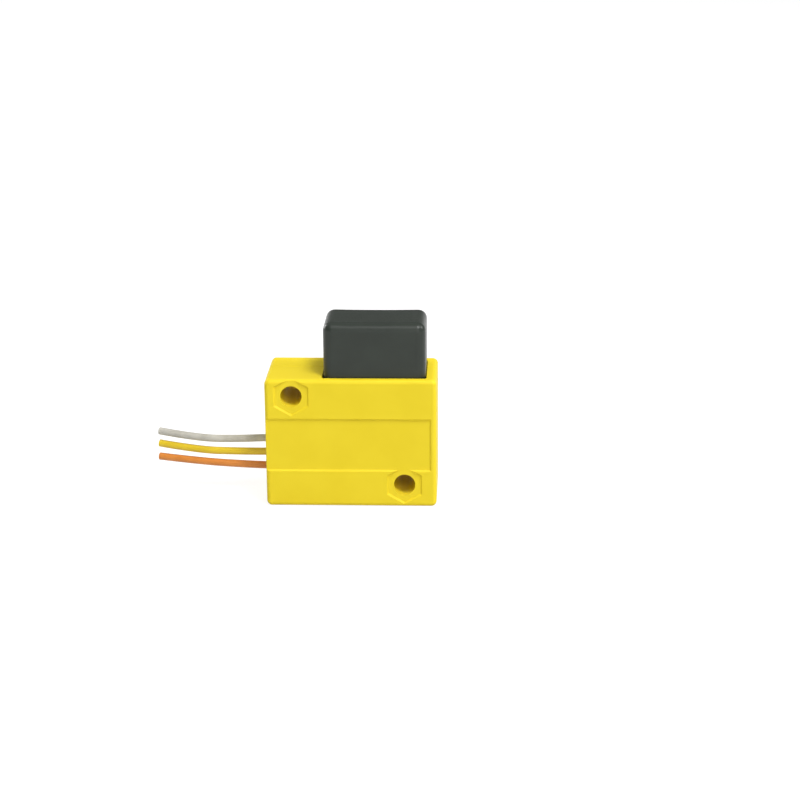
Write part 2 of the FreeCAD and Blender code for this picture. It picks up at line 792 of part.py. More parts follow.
def contact_lever():
    body = new_body("contact_lever")
    arms = new_sketch(body, "XZ_Plane", lever_front)
    end = lever_arm + at.lever_end
    root = lever_arm - at.hub_radius
    outline(arms, [(-contact_arm, -at.bridge_half_width), (0, -at.arm_half_width),
                   (root, -at.fork_half_width), (end, -at.fork_half_width), (end, at.fork_half_width),
                   (root, at.fork_half_width), (0, at.arm_half_width),
                   (-contact_arm, at.bridge_half_width)])
    pad(body, arms, at.lever_thickness, 1)
    hub = new_sketch(body, "XZ_Plane", lever_front)
    circle(hub, 0, 0, at.hub_radius)
    pad(body, hub, at.lever_thickness, 1)
    bore = new_sketch(body, "XZ_Plane", lever_front)
    circle(bore, 0, 0, at.pin_radius + at.pin_clearance)
    for x in rivet_places:
        circle(bore, x, 0, at.rivet_radius + at.pin_grip)
    pocket(body, bore, at.lever_thickness, 1)
    fork = new_sketch(body, "XZ_Plane", lever_front)
    half_gap = at.peg_radius + at.fork_gap
    rectangle(fork, lever_arm - half_gap - at.fork_gap, end + at.fork_gap, -half_gap, half_gap)
    pocket(body, fork, at.lever_thickness, 1)
    tilt_to_rest(body)
    nodes["contact_lever"] = body


def bridge_contact():
    body = new_body("bridge_contact")
    leaf = new_sketch(body, "XZ_Plane", bridge_front)
    rectangle(leaf, -contact_arm, rivet_places[1] + at.rivet_head + at.bridge_margin,
              -at.bridge_half_width, at.bridge_half_width)
    pad(body, leaf, at.bridge_thickness, 1)
    holes = new_sketch(body, "XZ_Plane", bridge_front)
    for x in rivet_places:
        circle(holes, x, 0, at.rivet_radius + at.pin_grip)
    pocket(body, holes, at.bridge_thickness, 1)
    for radius in (at.inner_contact, at.outer_contact):
        dimple = new_sketch(body, "XZ_Plane", bridge_front)
        circle(dimple, -radius, 0, at.dimple_radius)
        pad(body, dimple, at.dimple_height, -1)
    tilt_to_rest(body)
    nodes["bridge_contact"] = body


def bridge_rivets():
    rivets = []
    for index, x in enumerate(rivet_places):
        length = lever_back - bridge_front
        shank = rod("rivet_shank_%d" % index, at.rivet_radius, length, x, bridge_front, 0, along_y)
        front = rod("rivet_front_%d" % index, at.rivet_head, at.bridge_thickness / 2,
                    x, bridge_front - at.bridge_thickness / 2, 0, along_y)
        back = rod("rivet_back_%d" % index, at.rivet_head, at.bridge_thickness, x, lever_back, 0, along_y)
        rivets.append(joined("Part::MultiFuse", "bridge_rivet_%d" % index, [shank, front, back]))
    group = joined("Part::Compound", "bridge_rivets", rivets)
    tilt_to_rest(group)
    nodes["bridge_rivets"] = group


def pivot_pin():
    length = lever_back + at.pin_clearance + at.clip_thickness - front_inner
    pin = rod("pivot_pin", at.pin_radius, length, pivot_x, front_inner, pivot_height, along_y)
    nodes["pivot_pin"] = pin


def pivot_clip():
    body = new_body("pivot_clip")
    ring = new_sketch(body, "XZ_Plane", lever_back + at.pin_clearance)
    circle(ring, pivot_x, pivot_height, at.clip_radius)
    circle(ring, pivot_x, pivot_height, at.pin_radius + at.pin_grip)
    pad(body, ring, at.clip_thickness, 1)
    nodes["pivot_clip"] = body


# Leads: level from the solder tail to the side wall, then by chosen points to the cut end.
# The points' X is measured from the housing's left side.
lead_routes = {
    "white": [(-7.0, 1.6, 11.5), (-15.6, 2.5, 11.25), (-24.5, 4.9, 12.1)],
    "yellow": [(-7.0, 1.6, 8.67), (-15.6, 2.45, 8.6), (-24.5, 4.8, 9.35)],
    "orange": [(-7.0, 1.6, 5.8), (-15.6, 2.4, 6.1), (-24.6, 4.75, 6.35)],
}
arc_share = 0.45


def lead(name, height):
    left = -half_width.number
    level = [(lead_start.number, split.number, height.number),
             (left + at.lead_level.number, split.number, height.number)]
    points = [Vector(*point) for point in level]
    points += [Vector(left + x, y, z) for x, y, z in lead_routes[name]]
    edges = []
    reached = points[0]
    for before, corner, after in zip(points, points[1:], points[2:]):
        come = (corner - before).normalize()
        go = (after - corner).normalize()
        turn = come.getAngle(go)
        shorter = min(before.distanceToPoint(corner), corner.distanceToPoint(after))
        radius = arc_share * shorter / math.tan(turn / 2)
        start = corner - come * (arc_share * shorter)
        end = corner + go * (arc_share * shorter)
        inward = (go - come).normalize()
        middle = corner + inward * (radius / math.cos(turn / 2) - radius)
        edges.append(Part.LineSegment(reached, start).toShape())
        edges.append(Part.Arc(start, middle, end).toShape())
        reached = end
        print("lead_%s bend radius %.1f mm" % (name, radius))
    edges.append(Part.LineSegment(reached, points[-1]).toShape())
    path = Part.Wire(edges)
    section = Part.makeCircle(at.lead_radius.number, points[0], points[1] - points[0])
    item = doc.addObject("Part::Feature", "lead_" + name)
    item.Shape = path.makePipe(Part.Face(Part.Wire(section)))
    expected = math.pi * at.lead_radius.number ** 2 * path.Length
    print("lead_%s length %.2f mm, volume ratio %.5f" % (name, path.Length, item.Shape.Volume / expected))
    nodes["lead_" + name] = item


def lead_ends():
    conductors = []
    joints = []
    for name, height in zip(lead_routes, lead_heights):
        conductor = rod("conductor_" + name, at.conductor_radius, at.strip_length,
                        lead_start, split, height, along_x)
        left = tail_x - at.solder_length / 2
        drop = rod("drop_" + name, at.solder_radius, at.solder_length, left, split, height, along_x)
        core = rod("core_" + name, at.conductor_radius + at.pin_grip, at.solder_length,
                   left, split, height, along_x)
        under = doc.addObject("Part::Box", "under_" + name)
        under.setExpression("Length", at.solder_length.text)
        under.setExpression("Width", (at.solder_radius * 2).text)
        under.setExpression("Height", at.solder_radius.text)
        place_at(under, left, split - at.solder_radius, height - at.conductor_radius - at.solder_radius)
        conductors.append(conductor)
        joints.append(cut("solder_" + name, cut("sleeve_" + name, drop, core), under))
    nodes["lead_conductors"] = joined("Part::Compound", "lead_conductors", conductors)
    nodes["solder_joints"] = joined("Part::Compound", "solder_joints", joints)


def lead_comb():
    body = new_body("lead_comb")
    inner = at.wall - half_width
    block = new_sketch(body, "YZ_Plane", inner)
    rectangle(block, split - at.comb_depth / 2, split + at.comb_depth / 2,
              lead_heights[2] - at.comb_margin, lead_heights[0] + at.comb_margin)
    pad(body, block, at.comb_length, 1)
    holes = new_sketch(body, "YZ_Plane", inner)
    for height in lead_heights:
        circle(holes, split, height, at.lead_radius + at.comb_gap)
    pocket(body, holes, at.comb_length, 1)
    nodes["lead_comb"] = body


front_shell()
rear_shell()
shell_screws()
button()
plunger()
plunger_screws()
spring_shelf()
stop_pad()
springs()
contact_block()
terminals()
contact_lever()
bridge_contact()
bridge_rivets()
pivot_pin()
pivot_clip()
for lead_name, lead_height in zip(lead_routes, lead_heights):
    lead(lead_name, lead_height)
lead_ends()
lead_comb()
doc.recompute()

for item in doc.Objects:
    if "Invalid" in item.State or "Error" in item.State:
        raise ValueError("%s did not build: %s" % (item.Label, item.State))
for label, item in nodes.items():
    if item.Shape.isNull() or not item.Shape.isValid():
        raise ValueError("%s has no valid shape" % label)

os.makedirs("parts", exist_ok=True)
for label, item in nodes.items():
    item.Label = label
    item.Shape.exportStep("parts/%s.step" % label)
    print("%-20s %d solid(s) %9.2f mm3" % (label, len(item.Shape.Solids), item.Shape.Volume))
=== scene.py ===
import math

import bmesh
import bpy
import numpy as np
from mathutils import Matrix, Vector


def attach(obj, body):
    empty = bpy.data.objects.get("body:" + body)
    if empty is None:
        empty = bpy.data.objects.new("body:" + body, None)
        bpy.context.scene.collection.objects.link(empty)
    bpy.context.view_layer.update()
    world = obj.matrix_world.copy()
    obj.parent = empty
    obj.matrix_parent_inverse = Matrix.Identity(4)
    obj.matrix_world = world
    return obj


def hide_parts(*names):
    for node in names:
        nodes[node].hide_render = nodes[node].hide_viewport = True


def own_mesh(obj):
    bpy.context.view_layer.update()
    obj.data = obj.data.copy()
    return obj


# Three-position enabling switch, dressed around its CAD frame: metres, X right, Y back, Z up.
# The pieces' own settings are in millimetres.
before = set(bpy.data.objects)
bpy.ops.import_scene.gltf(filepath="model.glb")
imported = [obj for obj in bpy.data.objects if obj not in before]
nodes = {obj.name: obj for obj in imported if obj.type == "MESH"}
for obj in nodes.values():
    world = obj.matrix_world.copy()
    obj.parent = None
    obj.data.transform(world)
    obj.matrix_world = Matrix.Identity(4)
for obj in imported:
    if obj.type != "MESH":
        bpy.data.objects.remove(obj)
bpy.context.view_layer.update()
scene = bpy.context.scene
scene.view_settings.view_transform = "Standard"
mm = 0.001
print("frame loaded:", len(nodes), "nodes")

# Camera: the photograph's angle, as a place in millimetres and three turns in radians
photoView = {"lens": 91.29, "sensor": 36.0, "place": (25.949, -412.573, 148.156),
             "azimuth": -0.0385, "elevation": 0.29903, "roll": -0.00643, "clip": (0.01, 20.0)}


def makeCamera(view):
    # right and up are turned by the roll; the camera looks along -Z of its own frame
    a, e, r = view["azimuth"], view["elevation"], view["roll"]
    forward = Vector((math.sin(a) * math.cos(e), math.cos(a) * math.cos(e), -math.sin(e)))
    level = Vector((math.cos(a), -math.sin(a), 0))
    upright = level.cross(forward)
    right = level * math.cos(r) + upright * math.sin(r)
    up = upright * math.cos(r) - level * math.sin(r)
    data = bpy.data.cameras.new("photoCamera")
    data.lens = view["lens"]
    data.sensor_width = view["sensor"]
    data.clip_start, data.clip_end = view["clip"]
    item = bpy.data.objects.new("photoCamera", data)
    scene.collection.objects.link(item)
    turn = Matrix((right, up, -forward)).transposed().to_4x4()
    item.matrix_world = Matrix.Translation(Vector(view["place"]) * mm) @ turn
    scene.camera = item


makeCamera(photoView)
print("camera set")


# Node helpers
def startMaterial(name):
    material = bpy.data.materials.new(name)
    material.use_nodes = True
    tree = material.node_tree
    place = tree.nodes.new("ShaderNodeTexCoord")
    return material, tree, tree.nodes["Principled BSDF"], place.outputs["Object"]


def stretched(tree, coords, scale):
    mapping = tree.nodes.new("ShaderNodeMapping")
    mapping.inputs["Scale"].default_value = scale
    tree.links.new(coords, mapping.inputs["Vector"])
    return mapping.outputs["Vector"]


def noise(tree, coords, size, detail):
    # size is the width of one blotch, in metres
    texture = tree.nodes.new("ShaderNodeTexNoise")
    texture.inputs["Scale"].default_value = 1 / size
    texture.inputs["Detail"].default_value = detail
    tree.links.new(coords, texture.inputs["Vector"])
    return texture.outputs["Fac"]


def remap(tree, value, low, high, start=0.3, end=0.7):
    node = tree.nodes.new("ShaderNodeMapRange")
    node.interpolation_type = "SMOOTHSTEP"
    for name, number in zip(("From Min", "From Max", "To Min", "To Max"), (start, end, low, high)):
        node.inputs[name].default_value = number
    tree.links.new(value, node.inputs["Value"])
    return node.outputs["Result"]


def mixColour(tree, factor, first, second):
    node = tree.nodes.new("ShaderNodeMix")
    node.data_type = "RGBA"
    tree.links.new(factor, node.inputs[0])
    for socket, colour in ((node.inputs[6], first), (node.inputs[7], second)):  # its two colour sockets
        socket.default_value = (*colour, 1)
    return node.outputs[2]


def addBump(tree, height, depth, strength, under=None):
    node = tree.nodes.new("ShaderNodeBump")
    node.inputs["Distance"].default_value = depth
    node.inputs["Strength"].default_value = strength
    tree.links.new(height, node.inputs["Height"])
    if under is not None:
        tree.links.new(under, node.inputs["Normal"])
    return node.outputs["Normal"]


# What all finishes share: octaves of the noise, and how strongly its bumps show
surface = {"octaves": 3, "waveOctaves": 1, "waveStrength": 0.6, "bumpStrength": 0.5}

# Moulded plastics: two near colours in cloudy patches, a fine spark-eroded grain and slow waves of shrinkage
sheathSkin = {"patch": 3, "rough": (0.30, 0.46), "grain": 0.35, "grainDepth": 0.010, "wave": 4,
              "waveDepth": 0.03, "specular": 0.5}
plastics = {
    "housingYellow": {"colours": ((0.817, 0.632, 0.022), (0.845, 0.660, 0.026)), "patch": 9,
                      "rough": (0.46, 0.56), "grain": 0.16, "grainDepth": 0.010, "wave": 7,
                      "waveDepth": 0.009, "specular": 0.15},
    "buttonGrey": {"colours": ((0.021, 0.027, 0.021), (0.025, 0.032, 0.025)), "patch": 6,
                   "rough": (0.30, 0.40), "grain": 0.22, "grainDepth": 0.016, "wave": 8,
                   "waveDepth": 0.012, "specular": 0.35},
    "naturalNylon": {"colours": ((0.52, 0.50, 0.44), (0.60, 0.585, 0.53)), "patch": 5,
                     "rough": (0.42, 0.55), "grain": 0.3, "grainDepth": 0.012, "wave": 5,
                     "waveDepth": 0.02, "specular": 0.5},
    "blackPhenolic": {"colours": ((0.014, 0.013, 0.013), (0.026, 0.023, 0.022)), "patch": 1.2,
                      "rough": (0.32, 0.5), "grain": 0.12, "grainDepth": 0.008, "wave": 4,
                      "waveDepth": 0.01, "specular": 0.5},
    "stopRubber": {"colours": ((0.016, 0.016, 0.016), (0.028, 0.028, 0.028)), "patch": 2,
                   "rough": (0.7, 0.88), "grain": 0.1, "grainDepth": 0.02, "wave": 3,
                   "waveDepth": 0.02, "specular": 0.3},
    "whiteSheath": {"colours": ((0.455, 0.435, 0.375), (0.555, 0.535, 0.475)), **sheathSkin},
    "yellowSheath": {"colours": ((0.72, 0.50, 0.012), (0.79, 0.57, 0.022)), **sheathSkin},
    "orangeSheath": {"colours": ((0.66, 0.215, 0.030), (0.74, 0.265, 0.045)), **sheathSkin},
}


def mouldedPlastic(name, look):
    material, tree, shader, coords = startMaterial(name)
    patches = remap(tree, noise(tree, coords, look["patch"] * mm, surface["octaves"]), 0, 1)
    tree.links.new(mixColour(tree, patches, *look["colours"]), shader.inputs["Base Color"])
    grain = noise(tree, coords, look["grain"] * mm, surface["octaves"])
    tree.links.new(remap(tree, grain, *look["rough"]), shader.inputs["Roughness"])
    swell = noise(tree, coords, look["wave"] * mm, surface["waveOctaves"])
    waves = addBump(tree, swell, look["waveDepth"] * mm, surface["waveStrength"])
    bumps = addBump(tree, grain, look["grainDepth"] * mm, surface["bumpStrength"], waves)
    tree.links.new(bumps, shader.inputs["Normal"])
    shader.inputs["Specular IOR Level"].default_value = look["specular"]
    return material


# Metals: two near colours in patches of tarnish, and fine lines drawn along one axis
metals = {
    "zincSteel": {"colours": ((0.56, 0.565, 0.58), (0.66, 0.66, 0.655)), "patch": 1.4, "rough": (0.22, 0.38),
                  "lines": (1, 1, 6), "line": 0.25, "lineDepth": 0.004},
    "springSteel": {"colours": ((0.42, 0.42, 0.43), (0.55, 0.55, 0.55)), "patch": 1.0, "rough": (0.2, 0.34),
                    "lines": (1, 1, 4), "line": 0.12, "lineDepth": 0.003},
    "stampedBrass": {"colours": ((0.70, 0.50, 0.19), (0.80, 0.61, 0.27)), "patch": 1.6, "rough": (0.2, 0.36),
                     "lines": (6, 1, 1), "line": 0.2, "lineDepth": 0.003},
    "bridgeBronze": {"colours": ((0.68, 0.38, 0.22), (0.78, 0.48, 0.30)), "patch": 1.6, "rough": (0.2, 0.34),
                     "lines": (1, 1, 6), "line": 0.2, "lineDepth": 0.003},
    "copperWire": {"colours": ((0.72, 0.34, 0.20), (0.84, 0.46, 0.30)), "patch": 0.8, "rough": (0.2, 0.36),
                   "lines": (0.3, 1, 1), "line": 0.1, "lineDepth": 0.002},
    "solderTin": {"colours": ((0.58, 0.58, 0.585), (0.72, 0.72, 0.72)), "patch": 0.5, "rough": (0.16, 0.34),
                  "lines": (1, 1, 1), "line": 0.25, "lineDepth": 0.004},
}


def drawnMetal(name, look):
    material, tree, shader, coords = startMaterial(name)
    shader.inputs["Metallic"].default_value = 1.0
    patches = remap(tree, noise(tree, coords, look["patch"] * mm, surface["octaves"]), 0, 1)
    tree.links.new(mixColour(tree, patches, *look["colours"]), shader.inputs["Base Color"])
    lines = noise(tree, stretched(tree, coords, look["lines"]), look["line"] * mm, surface["octaves"])
    tree.links.new(remap(tree, lines, *look["rough"]), shader.inputs["Roughness"])
    bumps = addBump(tree, lines, look["lineDepth"] * mm, surface["bumpStrength"])
    tree.links.new(bumps, shader.inputs["Normal"])
    return material


finishes = {name: mouldedPlastic(name, look) for name, look in plastics.items()}
finishes.update({name: drawnMetal(name, look) for name, look in metals.items()})
print("finishes made:", len(finishes))


# Piece helpers
def newPiece(name, mesh, finish, body):
    item = bpy.data.objects.new(name, mesh)
    scene.collection.objects.link(item)
    item.data.materials.append(finishes[finish])
    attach(item, body)
    return item


def skinMesh(name, skins, crease):
    # a skin is rows of points round a piece; the first and last rows are closed on their middles
    corners, faces = [], []
    for rings in skins:
        start = sum(len(part) for part in corners)
        rows, around = rings.shape[:2]
        here = np.arange(around)
        after = (here + 1) % around
        top, end = start, start + 1 + rows * around
        base = start + 1 + np.arange(rows - 1)[:, None] * around
        nextRow = base + around
        quads = np.stack([base + here, base + after, nextRow + after, nextRow + here], -1).reshape(-1, 4)
        firstRow, lastRow = top + 1, end - around
        fans = np.concatenate([np.stack([np.full(around, top), firstRow + after, firstRow + here], -1),
                               np.stack([np.full(around, end), lastRow + here, lastRow + after], -1)])
        points = np.vstack([rings[:1].mean(1), rings.reshape(-1, 3), rings[-1:].mean(1)])
        # a skin whose volume comes out negative is inside out, so its faces are turned
        split = np.concatenate([fans, quads[:, [0, 1, 2]], quads[:, [0, 2, 3]]]) - start
        a, b, c = (points[split[:, k]] for k in range(3))
        order = slice(None, None, 1 if np.einsum("ij,ij->", a, np.cross(b, c)) > 0 else -1)
        corners.append(points)
        faces += quads[:, order].tolist() + fans[:, order].tolist()
    mesh = bpy.data.meshes.new(name)
    mesh.from_pydata(np.vstack(corners) * mm, [], faces)
    mesh.shade_smooth()
    mesh.set_sharp_from_angle(angle=math.radians(crease))
    return mesh


def tubeRings(path, sideways, upward, radius, around):
    # a circle of the given radius carried along the path, in the plane of the sideways and upward directions
    turn = np.linspace(0, 2 * math.pi, around, endpoint=False)[None, :, None]
    return path[:, None] + radius * (np.cos(turn) * sideways[:, None] + np.sin(turn) * upward[:, None])


# Stranded copper: six strands wound round a straight one
strands = {"outer": 6, "radius": 0.115, "lay": 0.232, "pitch": 4.0, "around": 10, "rows": 16,
           "proud": 0.06, "hold": 0.35, "crease": 40}


def strandSkins(first, last):
    # each outer strand is a tube on a helix about the line from first to last; the middle one is straight
    first, last = np.array(first), np.array(last)
    length = np.linalg.norm(last - first)
    along = (last - first) / length
    side = np.cross(along, (0, 0, 1.0))
    side /= np.linalg.norm(side)
    up = np.cross(side, along)
    reach = np.linspace(0, length, strands["rows"])[:, None]
    skins = []
    for index in range(strands["outer"] + 1):
        turn = 2 * math.pi * (reach / strands["pitch"] + index / strands["outer"])
        shift = strands["lay"] * (np.cos(turn) * side + np.sin(turn) * up) * (index < strands["outer"])
        path = first + reach * along + shift
        skins.append(tubeRings(path, np.broadcast_to(side, path.shape), np.broadcast_to(up, path.shape),
                               strands["radius"], strands["around"]))
    return skins


# Leads: one smooth line each, steered by the points of the CAD route, with the cut strands at the free end
leadColours = ("white", "yellow", "orange")
leadLines = {
    "diameter": 1.6, "length": 33.2, "exitX": -18.0, "bareTo": -8.0, "order": 3, "steps": 16, "bevelSteps": 6,
    "white": {"finish": "whiteSheath", "points": [(-9.7, 1.5, 11.88), (-17.2, 1.5, 11.88), (-25.0, 1.6, 11.5),
                                                  (-33.6, 2.5, 11.25), (-42.5, 4.9, 12.1)]},
    "yellow": {"finish": "yellowSheath", "points": [(-9.7, 1.5, 8.70), (-17.2, 1.5, 8.70), (-25.0, 1.6, 8.67),
                                                    (-33.6, 2.45, 8.6), (-42.5, 4.8, 9.35)]},
    "orange": {"finish": "orangeSheath", "points": [(-9.7, 1.5, 5.52), (-17.2, 1.5, 5.52), (-25.0, 1.6, 5.8),
                                                    (-33.6, 2.4, 6.1), (-42.6, 4.75, 6.35)]},
}


def leadCurve(name, points):
    # a round section carried along a spline that starts and ends on its outer points and leans to the others
    curve = bpy.data.curves.new(name, "CURVE")
    curve.dimensions = "3D"
    curve.resolution_u = leadLines["steps"]
    curve.bevel_depth = leadLines["diameter"] / 2 * mm
    curve.bevel_resolution = leadLines["bevelSteps"]
    curve.use_fill_caps = True
    spline = curve.splines.new("NURBS")
    spline.points.add(len(points) - 1)
    flat = np.ones((len(points), 4))
    flat[:, :3] = np.array(points) * mm
    spline.points.foreach_set("co", flat.ravel())
    spline.order_u = leadLines["order"]
    spline.use_endpoint_u = True
    return curve


def cutEnd(name, points):
    # the strands' ends just proud of the sheath's cut face, along the line's last direction
    last, before = np.array(points[-1]), np.array(points[-2])
    along = (last - before) / np.linalg.norm(last - before)
    skins = strandSkins(last - strands["hold"] * along, last + strands["proud"] * along)
    return newPiece(name, skinMesh(name, skins, strands["crease"]), "copperWire", "housing")


bareSkins = []
for colour in leadColours:
    lead = leadLines[colour]
    item = newPiece("sheath_" + colour, leadCurve("sheath_" + colour, lead["points"]), lead["finish"],
                    "housing")
    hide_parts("lead_" + colour)
    tip = cutEnd("cutStrands_" + colour, lead["points"])
    start = lead["points"][0]
    bareSkins += strandSkins(start, (leadLines["bareTo"], *start[1:]))
bareMesh = skinMesh("baredStrands", bareSkins, strands["crease"])
bared = newPiece("baredStrands", bareMesh, "copperWire", "housing")
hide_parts("lead_conductors")
print("leads laid")


# Solder: a mound over each bared end that thins out to a skirt on the terminal's tail
solder = {"middle": (-8.8, 1.5), "half": (0.55, 0.65), "below": 0.35, "height": 0.98, "fall": 1.2,
          "skirt": 0.01, "lump": 0.05, "lobes": 3, "crown": 0.06, "rows": 16, "around": 36, "crease": 40}


def solderSkin(height, wobble):
    # over an ellipse, the mound falls as a power of the cosine of the share of the way out to its rim
    out = np.linspace(solder["crown"], 1, solder["rows"])[:, None]
    turn = np.linspace(0, 2 * math.pi, solder["around"], endpoint=False)
    lump = 1 + solder["lump"] * out * np.sin(solder["lobes"] * turn + wobble)
    rise = solder["height"] * np.cos(out * math.pi / 2) ** solder["fall"] * lump + solder["skirt"]
    low = height - solder["below"]
    x = solder["middle"][0] + solder["half"][0] * out * np.cos(turn)
    y = solder["middle"][1] + solder["half"][1] * out * np.sin(turn)
    top = np.stack([x, y, low + rise], -1)
    under = top[-1:].copy()
    under[..., 2] = low
    return np.concatenate([top, under])


leadHeights = [leadLines[colour]["points"][0][2] for colour in leadColours]
moundSkins = [solderSkin(height, wobble=height) for height in leadHeights]  # no two lumps lie alike
mounds = newPiece("solderMounds", skinMesh("solderMounds", moundSkins, solder["crease"]), "solderTin",
                  "housing")
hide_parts("solder_joints")
print("joints soldered")

# Springs: round wire with closed, ground ends, each standing on its seat on the shelf
returnCoil = {"height": 13.45, "coil": 1.85, "wire": 0.5, "turns": 7.5, "press": 4.5}
springs = {
    "seat": 9.7, "closedTurns": 0.8, "easing": 0.4, "closeFit": 1.02, "perTurn": 40, "around": 14,
    "crease": 40,
    "return_spring_left": {"piece": "returnCoilLeft", "centre": (-1.0, -0.4), **returnCoil},
    "return_spring_right": {"piece": "returnCoilRight", "centre": (11.0, -0.4), **returnCoil},
    "stage_spring": {"piece": "stageCoil", "centre": (5.0, 3.9), "height": 11.45, "coil": 1.4,
                     "wire": 0.6, "turns": 7.0, "press": 2.53},
}


def coilSkin(look):
    # a circle carried along a helix: it climbs one wire a turn at both ends and evenly between, with a smooth
    # step from one to the other, and what would stand out below or above is ground flat
    turn = np.linspace(0, look["turns"], int(springs["perTurn"] * look["turns"]) + 1)
    fromEnd = np.minimum(turn, look["turns"] - turn)
    inside = np.clip((fromEnd - springs["closedTurns"]) / springs["easing"], 0, 1)
    opening = np.cumsum(inside * inside * (3 - 2 * inside))
    closed = look["wire"] * springs["closeFit"]
    height = closed * turn + (look["height"] - closed * look["turns"]) * opening / opening[-1]
    spin = 2 * math.pi * turn
    outward = np.stack([np.cos(spin), np.sin(spin), 0 * spin], -1)
    upward = np.broadcast_to([0, 0, 1.0], outward.shape)
    path = look["coil"] * outward + height[:, None] * upward
    rings = tubeRings(path, outward, upward, look["wire"] / 2, springs["around"])
    rings[..., 2] = np.clip(rings[..., 2], 0, look["height"])
    return rings + np.array([*look["centre"], springs["seat"]])


for node in ("return_spring_left", "return_spring_right", "stage_spring"):
    look = springs[node]
    mesh = skinMesh(look["piece"], [coilSkin(look)], springs["crease"])
    item = newPiece(look["piece"], mesh, "springSteel", "housing")
    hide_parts(node)
    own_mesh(item)
print("springs wound")

# Screws: pan heads with a cross recess and a thread-forming shank
screws = {
    "head": 1.7, "headHeight": 1.0, "dome": 0.28, "domeShare": (0.03, 0.95), "domeRows": 30,
    "rimDrop": 0.14, "rimFoot": 0.6, "rimRows": 5, "around": 72, "crease": 35,
    "recess": 0.5, "recessReach": 0.95, "recessHalf": 0.25, "recessTaper": 0.3, "recessEnd": 0.15,
    "recessWall": 0.08, "core": 0.56, "crest": 0.78, "pitch": 0.75, "perPitch": 10, "ridge": 0.24,
    "runIn": 0.5, "tip": 1.2, "tipFall": 0.7,
    "shell_screws": {"piece": "closingScrews", "body": "housing", "length": 12.4,
                     "axes": ((1, 0, 0), (0, 0, 1), (0, -1, 0)),
                     "places": [(-13.8, 8.9, 2.8), (15.2, 8.9, 13.0)], "turns": (0.4, 1.25)},
    "plunger_screws": {"piece": "capScrews", "body": "push_button", "length": 9.1,
                       "axes": ((1, 0, 0), (0, 1, 0), (0, 0, 1)),
                       "places": [(-2.875, 3.65, 22.15), (12.875, -4.45, 22.15)], "turns": (0.9, 0.1)},
}


def screwSkin(look, place, spin):
    # a profile turned about the screw's line: dome, rim, underside, shank and point; the recess sinks the
    # dome along two crossed arms, and the thread is a ridge whose height follows the turn and the way along
    inner, outer = screws["domeShare"]
    around, dome, head = screws["around"], screws["dome"], screws["head"]
    out = np.linspace(inner, outer, screws["domeRows"]) * head
    rim = np.linspace(0, math.pi / 2, screws["rimRows"])[1:]
    radius = np.concatenate([out, out[-1] + (1 - outer) * head * np.sin(rim), [head] * 2])
    depth = np.concatenate([dome * (out / out[-1]) ** 2, dome + screws["rimDrop"] * (1 - np.cos(rim)),
                            [screws["rimFoot"], screws["headHeight"]]])
    shank = np.arange(screws["headHeight"], look["length"], screws["pitch"] / screws["perPitch"])
    turn = np.linspace(0, 2 * math.pi, around, endpoint=False)
    x, y = np.outer(out, np.cos(turn - spin)), np.outer(out, np.sin(turn - spin))

    def arm(along, across):
        reach = screws["recessReach"]
        half = screws["recessHalf"] * (1 - screws["recessTaper"] * np.abs(along) / reach)
        ends = np.clip((reach - np.abs(along)) / screws["recessEnd"], 0, 1)
        return ends * np.clip((half - np.abs(across)) / screws["recessWall"], 0, 1)

    headDepth = np.repeat(depth[:, None], around, 1)
    headDepth[:len(out)] += screws["recess"] * np.maximum(arm(x, y), arm(y, x))
    phase = (shank[:, None] / screws["pitch"] - turn / (2 * math.pi)) % 1
    runIn = np.clip((shank - shank[0]) / screws["runIn"], 0, 1)[:, None]
    ridge = np.clip(1 - np.abs(phase - 0.5) / screws["ridge"], 0, 1) * runIn
    point = np.clip((look["length"] - shank) / screws["tip"], 0, 1)[:, None] ** screws["tipFall"]
    threadRadius = point * (screws["core"] + (screws["crest"] - screws["core"]) * ridge)
    allRadius = np.concatenate([np.repeat(radius[:, None], around, 1), threadRadius])[..., None]
    allDepth = np.concatenate([headDepth, np.repeat(shank[:, None], around, 1)])[..., None]
    across, upward, inward = (np.array(axis, dtype=float) for axis in look["axes"])
    outward = np.cos(turn)[:, None] * across + np.sin(turn)[:, None] * upward
    return np.array(place) + allRadius * outward + allDepth * inward


for node in ("shell_screws", "plunger_screws"):
    look = screws[node]
    skins = [screwSkin(look, place, spin) for place, spin in zip(look["places"], look["turns"])]
    mesh = skinMesh(look["piece"], skins, screws["crease"])
    item = newPiece(look["piece"], mesh, "zincSteel", look["body"])
    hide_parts(node)
print("screws cut")


# Mouldings: welded copies of the CAD shells and button, so that their round edges shade smoothly
mouldings = {
    "front_shell": {"piece": "frontMoulding", "finish": "housingYellow", "body": "housing", "slot": "housing"},
    "rear_shell": {"piece": "rearMoulding", "finish": "housingYellow", "body": "housing", "slot": "housing"},
    "button": {"piece": "pushCap", "finish": "buttonGrey", "body": "push_button", "slot": "button"},
}
welding = {"distance": 2e-6, "sharpFrom": 32, "faceWeight": 100}


def weldedCopy(node, name):
    # the node's loose triangles joined at their shared corners; creases past sharpFrom degrees stay crisp
    source = nodes[node].data
    corners = np.empty(len(source.vertices) * 3)
    source.vertices.foreach_get("co", corners)
    loops = np.empty(len(source.loops), dtype=np.int64)
    source.loops.foreach_get("vertex_index", loops)
    mesh = bpy.data.meshes.new(name)
    mesh.from_pydata(corners.reshape(-1, 3), [], loops.reshape(-1, 3))
    shape = bmesh.new()
    shape.from_mesh(mesh)
    bmesh.ops.remove_doubles(shape, verts=shape.verts, dist=welding["distance"])
    shape.to_mesh(mesh)
    shape.free()
    mesh.shade_smooth()
    mesh.set_sharp_from_angle(angle=math.radians(welding["sharpFrom"]))
    return mesh


